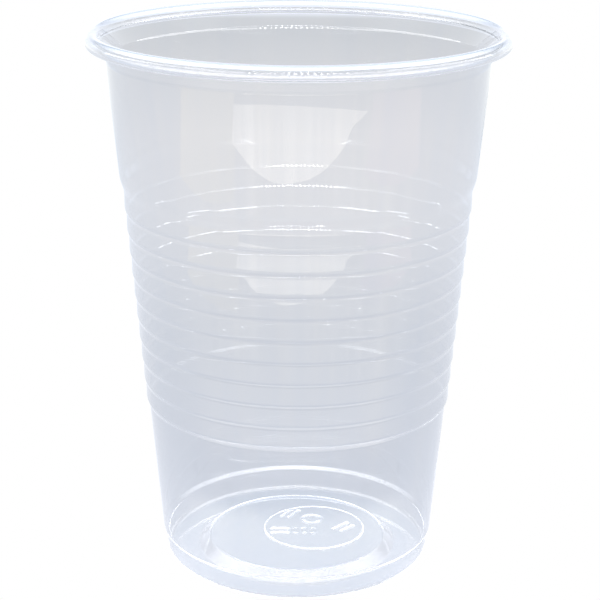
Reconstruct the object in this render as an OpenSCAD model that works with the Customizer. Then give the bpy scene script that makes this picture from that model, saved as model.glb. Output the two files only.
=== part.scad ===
// Thin clear drinking cup, formed in one piece from plastic sheet.
// The origin is the centre of the ring that the cup stands on, and +Z runs up its axis.
// The outer skin is drawn as one path, from the middle of the base up the wall and round
// the rolled rim. The inner skin is the same path set in by the sheet, and the two
// skins together are revolved.

/* [Overall] */
// Height from the table to the top of the rolled rim
cup_h = 95.4; // [88:0.2:130]
// Thickness of the sheet in the wall and the rim
wall_t = 0.3; // [0.2:0.05:0.45]
// Thickness of the sheet in the base
base_t = 0.45; // [0.25:0.05:0.8]

/* [Base] */
// Outer radius of the foot below the stacking ledge
foot_r = 23.85; // [22.5:0.05:24.3]
// Inside bend radius between the foot and the base
heel_bend = 0.6; // [0.3:0.1:1.5]
// Radius of the raised panel in the middle of the base
panel_r = 15.9; // [11:0.1:17]
// How far the panel is lifted off the table
panel_lift = 1.6; // [0.8:0.1:2.6]
// Width of the slope round the panel
panel_slope = 2; // [1:0.1:3]
// Radius of the small round pad on the panel
pad_r = 9.3; // [5:0.1:10.5]
// How far the pad stands up from the panel
pad_lift = 0.25; // [0.1:0.05:0.5]
// Place of the pad to the right of the cup's axis
pad_x = 3.2; // [0:0.1:4]
// Place of the pad behind the cup's axis
pad_y = 1.4; // [-2:0.1:2]

/* [Stacking ledge] */
// Height of the ledge that the next cup in a stack rests on
ledge_z = 3.9; // [3:0.1:8]
// How far the ledge stands out from the foot
ledge_out = 0.7; // [0.4:0.05:1.2]
// Height that the ledge rises over its own width
ledge_rise = 0.7; // [0.3:0.05:1.5]
// Inside bend radius at the ledge
ledge_bend = 0.3; // [0.1:0.05:0.4]

/* [Grip bands] */
// Number of small ledges that step the wall out
grip_count = 10; // [2:1:11]
// Height of the lowest small ledge
grip_z = 29.2; // [20:0.1:32]
// Outer radius of the wall just under the lowest small ledge
low_wall_r = 26.7; // [25.5:0.05:27]
// Outer radius of the lowest grip band
grip_r = 27.2; // [27:0.05:27.6]
// Height from one small ledge to the next
grip_pitch = 3.88; // [3:0.02:4]
// How far each grip band stands out from the one below it
grip_out = 0.335; // [0.2:0.005:0.37]
// Height that each small ledge rises over
grip_rise = 0.8; // [0.6:0.05:1.8]
// Inside bend radius at the small ledges
grip_bend = 1.5; // [0.2:0.1:1.8]

/* [Shoulder] */
// Height of the plain band between the last small ledge and the shoulder
shoulder_band = 3.2; // [2:0.1:5]
// How far the shoulder steps the wall out
shoulder_out = 0.72; // [0.3:0.02:1.2]
// Height that the shoulder rises over
shoulder_rise = 2.2; // [1.6:0.1:4]
// Inside bend radius at the shoulder
shoulder_bend = 5; // [1:0.5:7]

/* [Rim] */
// Outer radius of the rolled rim
rim_r = 36.5; // [35:0.1:39]
// Outer radius of the roll's own round section
roll_r = 1.3; // [1:0.05:1.6]
// How far round the sheet is rolled, in degrees
roll_turn = 310; // [200:5:320]
// Outer radius of the wall at the neck, where it starts to flare to the rim
neck_r = 32.8; // [31.5:0.05:33.2]
// Depth of the neck below the top of the rim
neck_drop = 4.8; // [4.2:0.1:7]
// Inside bend radius at the neck
neck_bend = 2; // [0.5:0.1:3]

/* [Hidden] */
sheet_colour = [0.86, 0.89, 0.95, 0.35];
// Largest turn of one straight piece of a bend, in degrees, and the fewest pieces
bend_step = 12;
bend_pieces = 2;
$fn = 180;

step_r = panel_r + panel_slope;
ledge_top = [foot_r + ledge_out, ledge_z + ledge_rise];
grip_top_z = grip_z + (grip_count - 1) * grip_pitch + grip_rise;
grip_top_r = grip_r + (grip_count - 1) * grip_out;
shoulder_z = grip_top_z + shoulder_band;
shoulder_top = [grip_top_r + shoulder_out, shoulder_z + shoulder_rise];
neck = [neck_r, cup_h - neck_drop];

// The flare runs straight from the neck and meets the roll at a tangent
roll_centre = [rim_r - roll_r, cup_h - roll_r];
roll_skin_r = roll_r - wall_t;
to_roll = roll_centre - neck;
flare_angle = atan2(to_roll[1], to_roll[0]) + asin(roll_skin_r / norm(to_roll));
roll_start = flare_angle + 90;
roll_pieces = ceil(roll_turn / bend_step);

// Corners of the outer skin, each [radius, height, inside bend radius], from the
// middle of the base to the neck
base_corners = [
    [0, panel_lift, 0],
    [panel_r, panel_lift, heel_bend],
    [step_r, 0, heel_bend],
    [foot_r, 0, heel_bend]
];
ledge_corners = [
    [foot_r, ledge_z, ledge_bend],
    [ledge_top[0], ledge_top[1], ledge_bend]
];
grip_corners = [
    for (i = [0 : grip_count - 1])
        for (top = [0, 1])
            [
                i + top == 0 ? low_wall_r : grip_r + (i + top - 1) * grip_out,
                grip_z + i * grip_pitch + top * grip_rise,
                grip_bend
            ]
];
shoulder_corners = [
    [grip_top_r, shoulder_z, shoulder_bend],
    [shoulder_top[0], shoulder_top[1], shoulder_bend]
];
neck_corners = [[neck[0], neck[1], neck_bend]];
corners = concat(base_corners, ledge_corners, grip_corners, shoulder_corners, neck_corners);
last = len(corners) - 1;

// Thickness of the sheet on the stretch that leaves corner i
function sheet_at(i) = i < len(base_corners) - 1 ? base_t : wall_t;

function spot(i) = [corners[i][0], corners[i][1]];
function unit(v) = v / norm(v);
function left_of(d) = [-d[1], d[0]];
function roll_point(a, r) = roll_centre + r * [cos(a), sin(a)];

// Direction of the stretch that leaves corner i. The last one is the flare.
function heading(i) =
    i < last ? unit(spot(i + 1) - spot(i)) : [cos(flare_angle), sin(flare_angle)];

// Corner i of a skin set in by a share of the sheet, 0 for the outer skin and 1 for the inner
function skin_corner(i, share) =
    let (n1 = left_of(heading(max(i - 1, 0))), n2 = left_of(heading(i)))
    let (t1 = share * sheet_at(max(i - 1, 0)), t2 = share * sheet_at(i), c = n1 * n2)
    t1 == t2
        ? spot(i) + t1 * (n1 + n2) / (1 + c)
        : spot(i) + (n1 * (t1 - t2 * c) + n2 * (t2 - t1 * c)) / (1 - c * c);

// Angle that the skin turns at corner i, positive to the left
function turn_at(i) =
    let (d1 = heading(i - 1), d2 = heading(i))
    asin(d1[0] * d2[1] - d1[1] * d2[0]);

// Length of the straight stretch that leaves corner i
function stretch(i) = norm(i < last ? spot(i + 1) - spot(i) : to_roll);

// Inside radius of the bend at corner i. It leaves half of each stretch to the next bend.
function bend_r(i) =
    let (room = min(stretch(i - 1), stretch(i)) / 2 / tan(abs(turn_at(i)) / 2) - sheet_at(i))
    max(0, min(corners[i][2], room));

// Round bend at corner i of a skin. The skin on the outside of the bend turns wider.
function bend(i, share) =
    let (d1 = heading(i - 1), turn = turn_at(i), side = sign(turn))
    let (r = bend_r(i) + sheet_at(i) * (side > 0 ? 1 - share : share))
    let (start = skin_corner(i, share) - d1 * r * tan(abs(turn) / 2))
    let (centre = start + side * r * left_of(d1))
    let (pieces = max(bend_pieces, ceil(abs(turn) / bend_step)))
    [
        for (k = [0 : pieces])
            let (a = side * abs(turn) * k / pieces)
            centre - side * r * (cos(a) * left_of(d1) - sin(a) * d1)
    ];

// One skin of the sheet, from the cup's axis to the cut edge inside the roll
function skin(share) = concat(
    [skin_corner(0, share)],
    [for (i = [1 : last]) each bend(i, share)],
    [
        for (k = [0 : roll_pieces])
            roll_point(roll_start - roll_turn * k / roll_pieces, roll_skin_r + share * wall_t)
    ]
);

function backwards(points) = [for (i = [len(points) - 1 : -1 : 0]) points[i]];

module shell() {
    rotate_extrude()
        polygon(concat(skin(0), backwards(skin(1))));
}

// Round pad, and the same shape for the dent that it leaves underneath
module pad(z) {
    translate([pad_x, pad_y, z])
        cylinder(h = pad_lift, r1 = pad_r, r2 = pad_r - pad_lift);
}

module cup() {
    color(sheet_colour)
        difference() {
            union() {
                shell();
                pad(panel_lift + base_t);
            }
            pad(panel_lift);
        }
}

cup();
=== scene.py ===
# Clear drinking cup, formed in one piece from thin plastic sheet, in a white studio.
# Sizes of the cup are in millimetres and are turned into metres by MM. The origin is the
# centre of the ring that the cup stands on, +Z runs up its axis and the camera looks along +Y.
import cmath
import math

import bpy
import numpy as np
from mathutils import Matrix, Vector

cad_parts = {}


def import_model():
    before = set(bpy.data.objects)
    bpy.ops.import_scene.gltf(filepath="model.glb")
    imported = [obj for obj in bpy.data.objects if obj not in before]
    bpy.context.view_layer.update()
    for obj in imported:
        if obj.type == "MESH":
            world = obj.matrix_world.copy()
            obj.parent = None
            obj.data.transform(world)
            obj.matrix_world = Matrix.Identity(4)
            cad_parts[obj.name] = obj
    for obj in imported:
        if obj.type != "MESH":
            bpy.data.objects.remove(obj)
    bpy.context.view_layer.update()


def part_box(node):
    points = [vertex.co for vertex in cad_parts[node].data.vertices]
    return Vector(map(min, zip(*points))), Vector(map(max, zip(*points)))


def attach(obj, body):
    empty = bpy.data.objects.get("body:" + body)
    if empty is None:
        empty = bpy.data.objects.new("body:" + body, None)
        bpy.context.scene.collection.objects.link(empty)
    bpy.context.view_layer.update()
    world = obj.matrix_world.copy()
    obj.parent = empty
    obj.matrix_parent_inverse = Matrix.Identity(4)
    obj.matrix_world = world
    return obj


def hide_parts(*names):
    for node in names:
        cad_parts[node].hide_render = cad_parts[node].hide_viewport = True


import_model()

MM = 0.001

# The sheet. The first stretches of the outline, from the middle of the base, have the base's
# thickness.
WALL_T = 0.3
BASE_T = 0.45
BASE_STRETCHES = 3

# Base
FOOT_R = 23.85
HEEL_BEND = 0.6
PANEL_R = 15.9
PANEL_LIFT = 1.6
PANEL_SLOPE = 2
PAD_R = 9.3
PAD_LIFT = 0.25
PAD_X = 3.2
PAD_Y = 1.4

# Stacking ledge
LEDGE_Z = 3.9
LEDGE_OUT = 0.7
LEDGE_RISE = 0.7
LEDGE_BEND = 0.3

# Grip bands
GRIP_COUNT = 10
GRIP_Z = 29.2
LOW_WALL_R = 26.7
GRIP_R = 27.2
GRIP_PITCH = 3.88
GRIP_OUT = 0.335
GRIP_RISE = 0.8
GRIP_BEND = 1.5

# Shoulder
SHOULDER_BAND = 3.2
SHOULDER_OUT = 0.72
SHOULDER_RISE = 2.2
SHOULDER_BEND = 5

# Rolled rim. Its overall radius and height come from the frame, whose round edges have flat
# facets, so that the box is a little narrower along Y.
RIM_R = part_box("cup")[1].y / MM
CUP_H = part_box("cup")[1].z / MM
ROLL_R = 1.3
ROLL_TURN = math.radians(310)
NECK_R = 32.8
NECK_DROP = 4.8
NECK_BEND = 2

# Raised marks on the base, from the middle of the pad: their height, the width of a bead and
# of its soft edge, a ring as its centre and radius, and short beads as their two ends
MARK_LIFT = 0.16
MARK_W = 0.75
MARK_SOFT = 0.2
MARK_RING = (-0.4, 3.2, 1.7)
MARK_BEADS = [
    ((-6.0, 4.4), (-4.4, 7.0)),
    ((-4.6, 4.0), (-3.0, 6.8)),
    ((3.9, -0.8), (6.2, 1.6)),
    ((5.2, -1.8), (7.2, 0.3)),
    ((-7.6, -0.9), (-5.0, -0.9)),
    ((-7.6, -2.7), (-5.0, -2.7)),
    ((-3.4, -2.7), (-3.4, -0.9)),
    ((-1.8, -2.7), (-1.8, -0.9)),
    ((-0.2, -2.7), (-0.2, -0.9)),
]

# Fineness of the mesh: segments round the cup, fewest pieces of a bend, and largest turn of
# one piece of a bend and of the roll
SEGMENTS = 200
BEND_PIECES = 2
BEND_STEP = math.radians(7)
ROLL_STEP = math.radians(7.5)
# Rings in the middle of the base: their spacing, their places down the pad's slope as shares
# of it, how many lie beyond the pad, and the distance over which a slope is measured
PAD_STEP = 0.3
PAD_SLOPE = (1, 0.7, 0.3, 0)
OUTER_RINGS = 6
SLOPE_STEP = 0.02

# Camera, as far from the cup and at the angle of the photograph's
CAM_BACK = 0.2895
CAM_UP = 0.1406
CAM_RIGHT = 0.0004
CAM_PITCH = math.radians(17.9)
CAM_ROLL = math.radians(0.27)
CAM_LENS = 102.456
CAM_SENSOR = 36
CAM_NEAREST = 0.01

# Light bounces, enough for light that runs a long way inside the sheet
BOUNCES = 1000

# The plastic's streaks, which run up the wall: how many to a metre along X, Y and Z, and how
# much detail they have. They shift its tint and its roughness between two values each, and
# raise faint bumps.
STREAKS = (260, 260, 9)
STREAK_DETAIL = 2
TINT_DEEP = (0.94, 0.955, 0.985, 1)
TINT_CLEAR = (0.985, 0.985, 0.99, 1)
ROUGH_LEAST = 0.005
ROUGH_MOST = 0.015
BUMP_STRENGTH = 0.06
BUMP_DEPTH = 0.00002
REFRACTION = 1.49

# The studio. The camera sees the floor and the backdrop white. The cup shows them in the
# colours below, in which 1 is white and more than 1 is a lit surface, up to BRIGHTEST.
WHITE = (1, 1, 1, 1)
BRIGHTEST = 8
FLOOR_SIZE = 6
FLOOR_GAP = 0.0001

# Floor as it is seen through the sheet, darker and cooler than the white that the camera sees:
# painted shade, which gives the cup's body its grey and blue tone. Distance from the cup's
# axis, colour
FLOOR_SPAN = 1.5
FLOOR_THROUGH = [
    (0, (0.71, 0.745, 0.815)),
    (0.05, (0.65, 0.68, 0.74)),
    (0.12, (0.65, 0.675, 0.72)),
    (0.22, (0.74, 0.75, 0.775)),
    (0.35, (0.77, 0.77, 0.785)),
    (0.6, (0.63, 0.65, 0.68)),
    (0.9, (0.68, 0.7, 0.73)),
    (1.3, (0.72, 0.74, 0.77)),
]
# Its far part straight behind the cup, which shows through the rolled rim brighter than the
# rest: a painted highlight in the rim. Distances between which it starts, how far back it lies,
# and its colour
FAR_START = (0.645, 0.68)
FAR_BACK = (0.85, 0.95)
FAR_THROUGH = (0.95, 1.0, 1.1)
# The same floor as it is mirrored in the sheet, towards the camera and elsewhere, and how far
# back the one passes into the other. That runs from -1 towards the camera to 1 away from it.
# Its bright and dark rings are painted reflections in the cup.
FLOOR_BACK = (-0.75, 0)
FLOOR_MIRROR_FRONT = [
    (0, (1.2, 1.2, 1.2)),
    (0.022, (2.3, 2.2, 2.3)),
    (0.035, (2.3, 2.2, 2.2)),
    (0.042, (2.8, 2.7, 2.5)),
    (0.047, (2.8, 2.7, 2.5)),
    (0.053, (0.5, 0.5, 0.55)),
    (0.066, (0.5, 0.5, 0.55)),
    (0.08, (1.6, 1.4, 1.2)),
    (0.115, (2.1, 2.0, 1.8)),
    (0.18, (2.0, 1.85, 1.6)),
    (0.24, (1.2, 1.1, 0.95)),
    (0.35, (1.2, 1.15, 1.0)),
    (0.6, (2.4, 2.3, 2.1)),
]
FLOOR_MIRROR_BACK = [
    (0, (1.1, 1.1, 1.15)),
    (0.04, (0.96, 1.0, 1.1)),
    (0.085, (0.95, 0.98, 1.05)),
    (0.19, (0.88, 0.94, 1.05)),
    (0.31, (0.78, 0.86, 0.97)),
    (0.6, (1.5, 1.5, 1.4)),
]

# Painted light and dark rays on the floor and the white board, which the cup shows as painted
# reflections: how many to a radian, how fine, how strong, the distances between which they
# start, and the values of the noise that they use
RAY_SCALE = 7
RAY_DETAIL = 2
RAY_ROUGHNESS = 0.7
RAY_DEPTH = 0.2
RAY_START = (0.12, 0.16)
RAY_NOISE = (0.3, 0.7)

# Room above the floor: degrees above the horizon, colour. How far back a direction points
# tells the front from the sides, and the sides from the back.
ROOM_SPAN = 90
ROOM_SIDE_BACK = (-0.8, 0)
ROOM_BACK_BACK = (0.6, 0.97)
ROOM_FRONT = [
    (0, (0.75, 0.76, 0.78)),
    (20, (0.75, 0.76, 0.78)),
    (26, (0.9, 0.9, 0.9)),
    (35, (0.9, 0.9, 0.9)),
    (39, (2.4, 2.4, 2.4)),
    (57, (3.8, 3.8, 3.7)),
    (65, (7.0, 6.9, 6.6)),
    (80, (7.0, 6.9, 6.6)),
    (90, (3.0, 3.0, 3.0)),
]
ROOM_SIDE = [
    (0, (1.3, 1.35, 1.35)),
    (22, (1.1, 1.15, 1.2)),
    (26, (1.3, 1.35, 1.4)),
    (33, (3.0, 3.0, 3.0)),
    (50, (5.5, 5.5, 5.4)),
    (72, (5.0, 5.0, 4.9)),
    (90, (3.0, 3.0, 3.0)),
]
ROOM_BACK = [
    (3, (1.15, 1.2, 1.3)),
    (12, (1.15, 1.2, 1.3)),
    (18, (0.5, 0.58, 0.7)),
    (24, (0.6, 0.72, 0.85)),
    (27, (0.95, 1.1, 1.25)),
    (35, (0.9, 1.0, 1.1)),
    (50, (0.8, 0.9, 1.0)),
    (66, (2.0, 1.85, 1.6)),
    (90, (3.0, 3.0, 3.0)),
]

# The room's low part as it is seen through the sheet, painted plain grey so that the shoulder
# stays quiet: painted shade that shows only through the sheet. Its colour, and the degrees
# above the horizon between which it comes in, from none to all of it
QUIET_PAINTED_SHADE = (0.72, 0.74, 0.77)
QUIET_START = (26, 22)

# Boards on the floor in front, which the cup's face mirrors: colour, corners. They overlap,
# so each lies a little higher than the one before.
BOARD_GAP = 0.001
BOARD_STEP = 0.0001
BOARDS = {
    "board_rose": ((1.6, 1.3, 1.3), [
        (0.170, -0.190), (0.128, -0.160), (0.215, -0.055), (0.275, -0.085), (0.200, -0.228),
    ]),
    "board_warm": ((1.85, 1.65, 1.2), [
        (-0.137, -0.190), (-0.115, -0.150), (-0.205, -0.060), (-0.265, -0.100), (-0.190, -0.262),
    ]),
}
# The white board. It glows more near the cup: how much more, and the distances from the
# cup's axis between which that fades.
WHITE_BOARD = (3.4, 3.15, 2.7)
NEAR_GLOW = 1.25
NEAR_GLOW_FADE = (0.2, 0.24)
# Its far edge is an arc: centre, radius, and where it ends in degrees round from the front
ARC_X = -0.004
ARC_Y = 0.02
ARC_R = 0.27
ARC_LEFT = -33
ARC_RIGHT = 37
ARC_PIECES = 30
# Its near edge runs straight between corners
NEAR_EDGE = [(-0.14, -0.18), (0, -0.197), (0.1, -0.2), (0.12, -0.205)]

# Bowed strip of light in front of the cup, which the small ledges mirror as thin lines. It
# lies on a cylinder about the cup, and sinks to both sides: degrees round from the front, and
# degrees above the horizon of its lower and its upper edge. It is made of flat panes, and is
# dimmer beyond BOW_END degrees. Its middle is a row of separate lamps, which the ledges
# mirror as dots: their gap and their width are in degrees too. A lamp's light shows in the
# cup if it has been mirrored LAMP_MIRRORS times at most.
BOW_FAR = 4
BOW_BASE = 0.06
BOW = [
    (0, 30.3, 32.8),
    (12, 30.1, 32.5),
    (20, 29.4, 31.7),
    (27, 29.7, 31),
    (33, 29.2, 30.6),
    (38, 28.4, 29.9),
    (43, 26.6, 29.1),
    (64, 23.5, 25.4),
    (90, 17.9, 19.4),
    (120, 9.5, 11),
]
BOW_STEP = 3
BOW_GLOW = 7
BOW_END = 78
BOW_END_GLOW = 5
LAMPS = 16
LAMP_GAP = 3.3
LAMP_WIDTH = 1.5
LAMP_GLOW = 20
LAMP_MIRRORS = 1
# A taller strip and row of lamps, which only show in what is seen through the open mouth
TALL_BOW = [
    (0, 1, 17),
    (47, 1, 17),
    (53, 8, 27),
    (64, 8, 25.6),
    (90, 5, 19.8),
    (120, 1, 11.7),
]
TALL_BOW_GLOW = 6
TALL_LAMP_GLOW = 14


def outer_corners():
    """Corners of the outer skin as (place, inside bend radius), from the middle of the base to
    the neck. A place is a complex number, radius + height * 1j."""
    ledge_top = FOOT_R + LEDGE_OUT + (LEDGE_Z + LEDGE_RISE) * 1j
    found = [
        (PANEL_LIFT * 1j, 0),
        (PANEL_R + PANEL_LIFT * 1j, HEEL_BEND),
        (PANEL_R + PANEL_SLOPE, HEEL_BEND),
        (FOOT_R, HEEL_BEND),
        (FOOT_R + LEDGE_Z * 1j, LEDGE_BEND),
        (ledge_top, LEDGE_BEND),
    ]
    for i in range(GRIP_COUNT):
        z = GRIP_Z + i * GRIP_PITCH
        below = GRIP_R + (i - 1) * GRIP_OUT if i else LOW_WALL_R
        found.append((below + z * 1j, GRIP_BEND))
        found.append((GRIP_R + i * GRIP_OUT + (z + GRIP_RISE) * 1j, GRIP_BEND))
    grip_top = found[-1][0]
    found.append((grip_top + SHOULDER_BAND * 1j, SHOULDER_BEND))
    found.append((found[-1][0] + SHOULDER_OUT + SHOULDER_RISE * 1j, SHOULDER_BEND))
    found.append((NECK_R + (CUP_H - NECK_DROP) * 1j, NECK_BEND))
    return found


CORNERS = outer_corners()
LAST = len(CORNERS) - 1
ROLL_CENTRE = RIM_R - ROLL_R + (CUP_H - ROLL_R) * 1j
TO_ROLL = ROLL_CENTRE - CORNERS[LAST][0]
FLARE_ANGLE = cmath.phase(TO_ROLL) + math.asin((ROLL_R - WALL_T) / abs(TO_ROLL))


def sheet_at(i):
    """Thickness of the sheet on the stretch that leaves corner i."""
    return BASE_T if i < BASE_STRETCHES else WALL_T


def heading(i):
    """Direction of the stretch that leaves corner i. The last one is the flare."""
    if i == LAST:
        return cmath.rect(1, FLARE_ANGLE)
    along = CORNERS[i + 1][0] - CORNERS[i][0]
    return along / abs(along)


def skin_corner(i, share):
    """Corner i of a skin set in by a share of the sheet, 0 for the outer and 1 for the inner."""
    d1 = heading(max(i - 1, 0))
    d2 = heading(i)
    t1 = share * sheet_at(max(i - 1, 0))
    t2 = share * sheet_at(i)
    n1, n2 = d1 * 1j, d2 * 1j
    c = (n1 * n2.conjugate()).real
    if t1 == t2:
        return CORNERS[i][0] + t1 * (n1 + n2) / (1 + c)
    return CORNERS[i][0] + (n1 * (t1 - t2 * c) + n2 * (t2 - t1 * c)) / (1 - c * c)


def bend_r(i, turn):
    """Inside radius of the bend at corner i. It leaves half of each stretch to the next bend."""
    before = abs(CORNERS[i][0] - CORNERS[i - 1][0])
    after = abs(CORNERS[i + 1][0] - CORNERS[i][0]) if i < LAST else abs(TO_ROLL)
    room = min(before, after) / 2 / math.tan(abs(turn) / 2) - sheet_at(i)
    return max(0, min(CORNERS[i][1], room))


def bend(i, share):
    """Rows of the round bend at corner i of a skin, each (place, direction)."""
    d1, d2 = heading(i - 1), heading(i)
    turn = cmath.phase(d2 / d1)
    side = math.copysign(1, turn)
    r = bend_r(i, turn) + sheet_at(i) * (1 - share if side > 0 else share)
    start = skin_corner(i, share) - d1 * r * math.tan(abs(turn) / 2)
    centre = start + side * r * d1 * 1j
    pieces = max(BEND_PIECES, math.ceil(abs(turn) / BEND_STEP))
    rows = []
    for k in range(pieces + 1):
        d = d1 * cmath.rect(1, turn * k / pieces)
        rows.append((centre - side * r * d * 1j, d))
    return rows


def roll(share):
    """Rows of the rolled rim on one skin, from the flare to the cut edge."""
    r = ROLL_R - WALL_T * (1 - share)
    pieces = math.ceil(ROLL_TURN / ROLL_STEP)
    rows = []
    for k in range(pieces + 1):
        out = cmath.rect(1, FLARE_ANGLE + math.pi / 2 - ROLL_TURN * k / pieces)
        rows.append((ROLL_CENTRE + r * out, out / 1j))
    return rows


def wall_rows():
    """Rows of both skins, from the edge of the base's panel up the outer skin, round the cut
    edge and down the inner skin. Each is (place, normal pointing out of the plastic)."""
    skins = []
    for share in (0, 1):
        rows = [row for i in range(1, LAST + 1) for row in bend(i, share)] + roll(share)
        away = 1j if share else -1j
        skins.append([(place, d * away) for place, d in rows])
    end, end_normal = skins[0][-1]
    other_end = skins[1][-1][0]
    middle, half = (end + other_end) / 2, (other_end - end) / 2
    edge = []
    for angle in (45, 90, 135):
        out = end_normal * cmath.rect(1, math.radians(angle))
        edge.append((middle + out * abs(half), out))
    return skins[0] + edge + skins[1][::-1]


def smooth(x):
    """Step from 0 to 1 with round ends as x goes from 0 to 1."""
    x = np.clip(x, 0, 1)
    return x * x * (3 - 2 * x)


def bead_distance(x, y, start, end):
    """Distance from each point to a straight bead's middle line."""
    ax, ay = start
    wide, high = end[0] - ax, end[1] - ay
    along = ((x - ax) * wide + (y - ay) * high) / (wide ** 2 + high ** 2)
    along = np.clip(along, 0, 1)
    return np.hypot(x - ax - along * wide, y - ay - along * high)


def relief(x, y):
    """Height of the pad and its marks above the panel, at millimetres from the pad's middle."""
    pad = PAD_LIFT * smooth((PAD_R - np.hypot(x, y)) / PAD_LIFT)
    ring_x, ring_y, ring_r = MARK_RING
    off = np.abs(np.hypot(x - ring_x, y - ring_y) - ring_r)
    for start, end in MARK_BEADS:
        off = np.minimum(off, bead_distance(x, y, start, end))
    return pad + MARK_LIFT * smooth(1 - off / (MARK_W / 2 + MARK_SOFT))


def panel_rows(edge_r):
    """Rings of the panel's middle, each (radius, share of the pad's offset)."""
    inner = np.arange(PAD_STEP, PAD_R - PAD_LIFT, PAD_STEP)
    slope = PAD_R - PAD_LIFT * np.array(PAD_SLOPE)
    outer = np.linspace(PAD_R + PAD_STEP, edge_r, OUTER_RINGS)
    radii = np.concatenate([inner, slope, outer])
    offset = np.clip((edge_r - radii) / (edge_r - PAD_R), 0, 1)
    return list(zip(radii, offset))


def panel_grid(edge_r, z, up):
    """Points and normals of the panel's middle on one skin, ring by ring from the centre."""
    turn = np.arange(SEGMENTS) * 2 * math.pi / SEGMENTS
    points, normals = [], []
    for r, offset in [(0, 1)] + panel_rows(edge_r):
        around = turn if r else turn[:1]
        x = r * np.cos(around) + offset * PAD_X
        y = r * np.sin(around) + offset * PAD_Y
        u, v = x - PAD_X, y - PAD_Y
        slope_x = (relief(u + SLOPE_STEP, v) - relief(u - SLOPE_STEP, v)) / (2 * SLOPE_STEP)
        slope_y = (relief(u, v + SLOPE_STEP) - relief(u, v - SLOPE_STEP)) / (2 * SLOPE_STEP)
        normal = np.stack([-slope_x, -slope_y, np.ones_like(x)], 1) * up
        points.append(np.stack([x, y, z + relief(u, v)], 1))
        normals.append(normal / np.linalg.norm(normal, axis=1)[:, None])
    return points, normals


def swept(row):
    """A row's place or normal, swept round the cup's axis."""
    turn = np.arange(SEGMENTS) * 2 * math.pi / SEGMENTS
    return np.stack([row.real * np.cos(turn), row.real * np.sin(turn), np.full(SEGMENTS, row.imag)], 1)


def cup_rings():
    """All rings of the closed shell, from the middle of the underside to the middle of the
    upper side of the base, as lists of points and normals."""
    rows = wall_rows()
    points = [swept(place) for place, _ in rows]
    normals = [swept(normal) for _, normal in rows]
    under = panel_grid(rows[0][0].real - PAD_STEP, PANEL_LIFT, -1)
    upper = panel_grid(rows[-1][0].real - PAD_STEP, PANEL_LIFT + BASE_T, 1)
    return under[0] + points + upper[0][::-1], under[1] + normals + upper[1][::-1]


def cup_mesh():
    """The cup as one closed mesh with exact normals."""
    points, normals = cup_rings()
    starts = np.cumsum([0] + [len(ring) for ring in points])
    faces = []
    for j in range(len(points) - 1):
        a, b = int(starts[j]), int(starts[j + 1])
        for k in range(SEGMENTS):
            n = (k + 1) % SEGMENTS
            if len(points[j]) == 1:
                faces.append((a, b + n, b + k))
            elif len(points[j + 1]) == 1:
                faces.append((a + k, a + n, b))
            else:
                faces.append((a + k, a + n, b + n, b + k))
    mesh = bpy.data.meshes.new("cup_shell")
    mesh.from_pydata((np.concatenate(points) * MM).tolist(), [], faces)
    mesh.polygons.foreach_set("use_smooth", [True] * len(faces))
    mesh.validate()
    mesh.normals_split_custom_set_from_vertices(np.concatenate(normals).tolist())
    return mesh


def add(tree, kind, inputs=(), **settings):
    """Adds a shader node, sets its inputs by name or number, and its settings by keyword."""
    made = tree.nodes.new(kind)
    for name, value in settings.items():
        setattr(made, name, value)
    for name, value in dict(inputs).items():
        if isinstance(value, bpy.types.NodeSocket):
            tree.links.new(value, made.inputs[name])
        else:
            made.inputs[name].default_value = value
    return made


def new_material(name):
    """An empty material and its node tree."""
    made = bpy.data.materials.new(name)
    made.use_nodes = True
    made.node_tree.nodes.clear()
    return made, made.node_tree


def clear_plastic():
    """Clear glossy sheet with a cool tint, a little haze and faint streaks of the forming."""
    made, tree = new_material("clear_plastic_sheet")
    place = add(tree, "ShaderNodeTexCoord").outputs["Object"]
    streak_place = add(tree, "ShaderNodeMapping", {"Vector": place, "Scale": STREAKS}).outputs[0]
    noise = add(tree, "ShaderNodeTexNoise", {
        "Vector": streak_place, "Scale": 1, "Detail": STREAK_DETAIL})
    streaks = noise.outputs["Fac"]
    tint = add(tree, "ShaderNodeMix", {"Factor": streaks}, data_type="RGBA")
    tint.inputs["A"].default_value = TINT_DEEP
    tint.inputs["B"].default_value = TINT_CLEAR
    rough = add(tree, "ShaderNodeMapRange", {
        "Value": streaks, "To Min": ROUGH_LEAST, "To Max": ROUGH_MOST})
    bump = add(tree, "ShaderNodeBump", {
        "Height": streaks, "Strength": BUMP_STRENGTH, "Distance": BUMP_DEPTH})
    shader = add(tree, "ShaderNodeBsdfPrincipled", {
        "Base Color": tint.outputs["Result"],
        "Roughness": rough.outputs[0],
        "Normal": bump.outputs[0],
        "Transmission Weight": 1.0,
        "IOR": REFRACTION,
    })
    add(tree, "ShaderNodeOutputMaterial", {"Surface": shader.outputs[0]})
    return made


def ramp(tree, value, span, stops):
    """Colour that runs through stops, each (place, colour), as value goes from 0 to span. It
    comes out divided by BRIGHTEST, which the emission's strength puts back."""
    share = add(tree, "ShaderNodeMath", {0: value, 1: span}, operation="DIVIDE")
    made = add(tree, "ShaderNodeValToRGB", {"Fac": share.outputs[0]})
    elements = made.color_ramp.elements
    elements.remove(elements[1])
    for n, (place, colour) in enumerate(stops):
        element = elements.new(place / span) if n else elements[0]
        element.position = place / span
        element.color = [channel / BRIGHTEST for channel in colour] + [1]
    return made.outputs["Color"]


def plain(tree, colour):
    """One colour, divided by BRIGHTEST like a ramp's."""
    made = add(tree, "ShaderNodeRGB").outputs[0]
    made.default_value = [channel / BRIGHTEST for channel in colour] + [1]
    return made


def blend(tree, share, first, second):
    """Mixes two colours, from the first at share 0 to the second at share 1."""
    made = add(tree, "ShaderNodeMix", {"Factor": share}, data_type="RGBA")
    tree.links.new(first, made.inputs["A"])
    tree.links.new(second, made.inputs["B"])
    return made.outputs["Result"]


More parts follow.
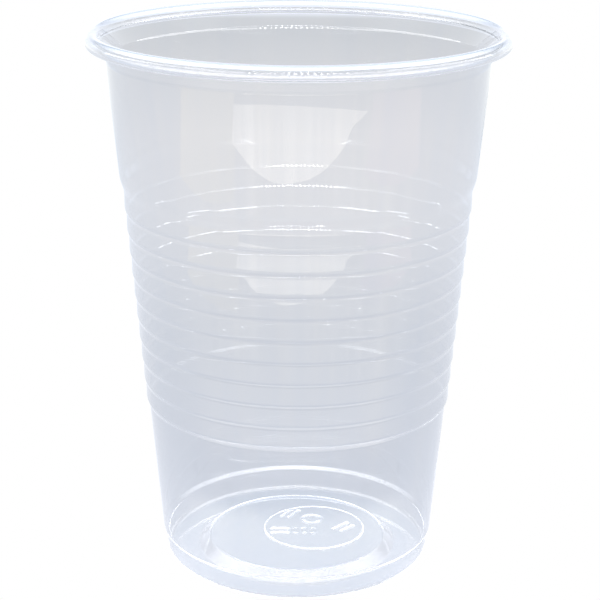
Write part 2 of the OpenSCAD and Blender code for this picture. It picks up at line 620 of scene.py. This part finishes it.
def step(tree, value, low, high):
    """Smooth step from 0 to 1 as value goes from low to high."""
    made = add(tree, "ShaderNodeMapRange", {
        "Value": value, "From Min": low, "From Max": high}, interpolation_type="SMOOTHSTEP")
    return made.outputs["Result"]


def flat_part(tree, parts):
    """Length of a vector's part in the floor's plane, and that part's share that points back."""
    both = add(tree, "ShaderNodeCombineXYZ", {"X": parts["X"], "Y": parts["Y"]})
    far = add(tree, "ShaderNodeVectorMath", {0: both.outputs[0]}, operation="LENGTH").outputs["Value"]
    back = add(tree, "ShaderNodeMath", {0: parts["Y"], 1: far}, operation="DIVIDE").outputs[0]
    return far, back


def painted_rays(tree, parts, far):
    """Painted light and dark rays that run out from under the cup, which its wall mirrors upright
    as painted reflections.
    """
    turn = add(tree, "ShaderNodeMath", {0: parts["X"], 1: parts["Y"]}, operation="ARCTAN2").outputs[0]
    noise = add(tree, "ShaderNodeTexNoise", {
        "W": turn,
        "Scale": RAY_SCALE,
        "Detail": RAY_DETAIL,
        "Roughness": RAY_ROUGHNESS,
    }, noise_dimensions="1D")
    depth = add(tree, "ShaderNodeMath", {
        0: step(tree, far, *RAY_START), 1: RAY_DEPTH}, operation="MULTIPLY").outputs[0]
    least = add(tree, "ShaderNodeMath", {0: 1.0, 1: depth}, operation="SUBTRACT").outputs[0]
    most = add(tree, "ShaderNodeMath", {0: 1.0, 1: depth}, operation="ADD").outputs[0]
    made = add(tree, "ShaderNodeMapRange", {
        "Value": noise.outputs["Fac"],
        "From Min": RAY_NOISE[0],
        "From Max": RAY_NOISE[1],
        "To Min": least,
        "To Max": most,
    })
    return made.outputs["Result"]


def floor():
    """Floor that is plain white to the camera. Seen through the sheet it shows a cool, nearly even
    painted shade, and mirrored in it mostly bright painted reflections.
    """
    made, tree = new_material("floor_painted_shade_and_reflections")
    made.cycles.emission_sampling = "NONE"
    place = add(tree, "ShaderNodeNewGeometry").outputs["Position"]
    parts = add(tree, "ShaderNodeSeparateXYZ", {0: place}).outputs
    far, back = flat_part(tree, parts)
    # Painted shade: the floor's darker, cool colours as seen through the sheet
    near = ramp(tree, far, FLOOR_SPAN, FLOOR_THROUGH)
    # Painted highlight: the far floor straight behind the cup, brighter through the rolled rim
    behind = add(tree, "ShaderNodeMath", {
        0: step(tree, far, *FAR_START), 1: step(tree, back, *FAR_BACK)}, operation="MULTIPLY")
    through = blend(tree, behind.outputs[0], near, plain(tree, FAR_THROUGH))
    # Painted reflections: the floor's bright and dark rings as the sheet mirrors them
    painted_front_reflection = ramp(tree, far, FLOOR_SPAN, FLOOR_MIRROR_FRONT)
    # Painted rays of light and shade over the mirrored floor
    front = add(tree, "ShaderNodeVectorMath", {
        0: painted_front_reflection, "Scale": painted_rays(tree, parts, far)}, operation="SCALE").outputs[0]
    rest = ramp(tree, far, FLOOR_SPAN, FLOOR_MIRROR_BACK)
    mirrored = blend(tree, step(tree, back, *FLOOR_BACK), front, rest)
    path = add(tree, "ShaderNodeLightPath").outputs
    shown = blend(tree, path["Is Transmission Ray"], mirrored, through)
    lit = add(tree, "ShaderNodeEmission", {"Color": shown, "Strength": BRIGHTEST})
    white = add(tree, "ShaderNodeEmission", {"Color": WHITE, "Strength": 1})
    both = {0: path["Is Camera Ray"], 1: lit.outputs[0], 2: white.outputs[0]}
    surface = add(tree, "ShaderNodeMixShader", both).outputs[0]
    add(tree, "ShaderNodeOutputMaterial", {"Surface": surface})
    bpy.ops.mesh.primitive_plane_add(size=FLOOR_SIZE, location=(0, 0, -FLOOR_GAP))
    plane = bpy.context.object
    plane.name = "floor"
    plane.data.materials.append(made)


def board_light(name, colour):
    """Material of a lit board, its node tree and its emission."""
    made, tree = new_material(name)
    made.cycles.emission_sampling = "NONE"
    light = add(tree, "ShaderNodeEmission", {"Color": (*colour, 1), "Strength": 1})
    add(tree, "ShaderNodeOutputMaterial", {"Surface": light.outputs[0]})
    return made, tree, light


def white_board_light():
    """Material of the white board, which carries the floor's painted rays and glows near the cup."""
    made, tree, light = board_light("board_white", WHITE_BOARD)
    place = add(tree, "ShaderNodeNewGeometry").outputs["Position"]
    parts = add(tree, "ShaderNodeSeparateXYZ", {0: place}).outputs
    far, _ = flat_part(tree, parts)
    glow = add(tree, "ShaderNodeMapRange", {
        "Value": far,
        "From Min": NEAR_GLOW_FADE[0],
        "From Max": NEAR_GLOW_FADE[1],
        "To Min": NEAR_GLOW,
        "To Max": 1,
    })
    power = add(tree, "ShaderNodeMath", {
        0: painted_rays(tree, parts, far), 1: glow.outputs["Result"]}, operation="MULTIPLY")
    tree.links.new(power.outputs[0], light.inputs["Strength"])
    return made


def lamp_light(name, strength):
    """Material of a lamp, whose light shows if it has been mirrored LAMP_MIRRORS times at most."""
    made, tree = new_material(name)
    made.cycles.emission_sampling = "NONE"
    mirrored = add(tree, "ShaderNodeLightPath").outputs["Glossy Depth"]
    few = add(tree, "ShaderNodeMath", {0: mirrored, 1: LAMP_MIRRORS + 0.5}, operation="LESS_THAN")
    power = add(tree, "ShaderNodeMath", {0: few.outputs[0], 1: strength}, operation="MULTIPLY")
    light = add(tree, "ShaderNodeEmission", {"Color": WHITE, "Strength": power.outputs[0]})
    add(tree, "ShaderNodeOutputMaterial", {"Surface": light.outputs[0]})
    return made


def stage_mesh(name, points, faces, material):
    """A piece of the studio that only the cup shows, never the camera."""
    mesh = bpy.data.meshes.new(name)
    mesh.from_pydata(points, [], faces)
    mesh.materials.append(material)
    made = bpy.data.objects.new(name, mesh)
    bpy.context.collection.objects.link(made)
    made.visible_camera = False
    return made


def far_edge():
    """Points of the white board's far edge, from right to left."""
    points = []
    for k in range(ARC_PIECES + 1):
        turn = math.radians(ARC_RIGHT + (ARC_LEFT - ARC_RIGHT) * k / ARC_PIECES)
        points.append((ARC_X + ARC_R * math.sin(turn), ARC_Y - ARC_R * math.cos(turn)))
    return points


def add_board(name, outline, n, material):
    """Board number n from the floor up, which shows in the cup as a reflection alone."""
    points = [(x, y, BOARD_GAP + n * BOARD_STEP) for x, y in outline]
    board = stage_mesh(name, points, [range(len(points))], material)
    board.visible_transmission = False


def boards():
    """Lit boards in front of the cup."""
    for n, (name, (colour, corners)) in enumerate(BOARDS.items()):
        add_board(name, corners, n, board_light(name, colour)[0])
    add_board("board_white", far_edge() + NEAR_EDGE, len(BOARDS), white_board_light())


def bow_panes(name, shape, spans, strength):
    """Part of a bowed strip of light: one pane for each span, in degrees round the cup."""
    round_from_front, low, high = zip(*shape)
    points, faces = [], []
    for start, end in spans:
        faces.append(range(len(points), len(points) + 4))
        for turn, edge in ((start, low), (end, low), (end, high), (start, high)):
            up = math.radians(np.interp(abs(turn), round_from_front, edge))
            turn = math.radians(turn)
            across, ahead = BOW_FAR * math.sin(turn), -BOW_FAR * math.cos(turn)
            points.append((across, ahead, BOW_BASE + BOW_FAR * math.tan(up)))
    return stage_mesh(name, points, faces, lamp_light(name, strength))


def lamps():
    """The bowed strips of light, with separate lamps in their middle."""
    first = -(LAMPS - 1) / 2 * LAMP_GAP
    middles = [first + i * LAMP_GAP for i in range(LAMPS)]
    dots = [(middle - LAMP_WIDTH / 2, middle + LAMP_WIDTH / 2) for middle in middles]
    strip_start, strip_end = BOW_STEP - int(first), BOW[-1][0]
    right = [(turn, turn + BOW_STEP) for turn in range(strip_start, strip_end, BOW_STEP)]
    strips = [(-end, -start) for start, end in right] + right
    near = [span for span in strips if abs(sum(span)) / 2 < BOW_END]
    ends = [span for span in strips if span not in near]
    bow_panes("lamp_dots", BOW, dots, LAMP_GLOW)
    bow_panes("lamp_strips", BOW, near, BOW_GLOW)
    bow_panes("lamp_ends", BOW, ends, BOW_END_GLOW)
    tall_dots = bow_panes("tall_dots", TALL_BOW, dots, TALL_LAMP_GLOW)
    tall_dots.visible_transmission = False
    tall_strips = bow_panes("tall_strips", TALL_BOW, strips, TALL_BOW_GLOW)
    tall_strips.visible_transmission = False


def world():
    """White to the camera, and to the cup a soft room that is brightest in front and above.
    Through the sheet its low part shows plain grey, a painted shade.
    """
    made = bpy.data.worlds.new("studio")
    bpy.context.scene.world = made
    made.use_nodes = True
    made.cycles.sampling_method = "NONE"
    tree = made.node_tree
    tree.nodes.clear()
    way = add(tree, "ShaderNodeTexCoord").outputs["Generated"]
    parts = add(tree, "ShaderNodeSeparateXYZ", {0: way}).outputs
    _, back = flat_part(tree, parts)
    angle = add(tree, "ShaderNodeMath", {0: parts["Z"]}, operation="ARCSINE").outputs[0]
    height = add(tree, "ShaderNodeMath", {0: angle}, operation="DEGREES").outputs[0]
    front_colour = ramp(tree, height, ROOM_SPAN, ROOM_FRONT)
    side_colour = ramp(tree, height, ROOM_SPAN, ROOM_SIDE)
    back_colour = ramp(tree, height, ROOM_SPAN, ROOM_BACK)
    open_ahead = blend(tree, step(tree, back, *ROOM_SIDE_BACK), front_colour, side_colour)
    path = add(tree, "ShaderNodeLightPath").outputs
    # Painted shade: the room's low part shows plain grey through the sheet
    low = step(tree, height, *QUIET_START)
    quiet = add(tree, "ShaderNodeMath", {
        0: path["Is Transmission Ray"], 1: low}, operation="MULTIPLY").outputs[0]
    ahead = blend(tree, quiet, open_ahead, plain(tree, QUIET_PAINTED_SHADE))
    shown = blend(tree, step(tree, back, *ROOM_BACK_BACK), ahead, back_colour)
    room = add(tree, "ShaderNodeBackground", {"Color": shown, "Strength": BRIGHTEST})
    white = add(tree, "ShaderNodeBackground", {"Color": WHITE, "Strength": 1})
    both = {0: path["Is Camera Ray"], 1: room.outputs[0], 2: white.outputs[0]}
    surface = add(tree, "ShaderNodeMixShader", both).outputs[0]
    add(tree, "ShaderNodeOutputWorld", {"Surface": surface})


def camera():
    """The photograph's view."""
    data = bpy.data.cameras.new("camera")
    data.lens = CAM_LENS
    data.sensor_width = CAM_SENSOR
    data.clip_start = CAM_NEAREST
    made = bpy.data.objects.new("camera", data)
    bpy.context.collection.objects.link(made)
    made.location = (CAM_RIGHT, -CAM_BACK, CAM_UP)
    turn = Matrix.Rotation(math.pi / 2 - CAM_PITCH, 4, "X") @ Matrix.Rotation(CAM_ROLL, 4, "Z")
    made.rotation_euler = turn.to_euler()
    bpy.context.scene.camera = made


def look():
    """Colours as they are, and enough light bounces for the rolled rim."""
    scene = bpy.context.scene
    scene.view_settings.view_transform = "Standard"
    scene.cycles.max_bounces = BOUNCES
    scene.cycles.transmission_bounces = BOUNCES
    scene.cycles.glossy_bounces = BOUNCES
    scene.cycles.diffuse_bounces = BOUNCES
    scene.cycles.use_denoising = True
    scene.cycles.sample_clamp_indirect = 0


camera()
world()
floor()
boards()
lamps()
look()

cup = bpy.data.objects.new("cup_shell", cup_mesh())
bpy.context.collection.objects.link(cup)
cup.data.materials.append(clear_plastic())
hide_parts("cup")
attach(cup, "root")
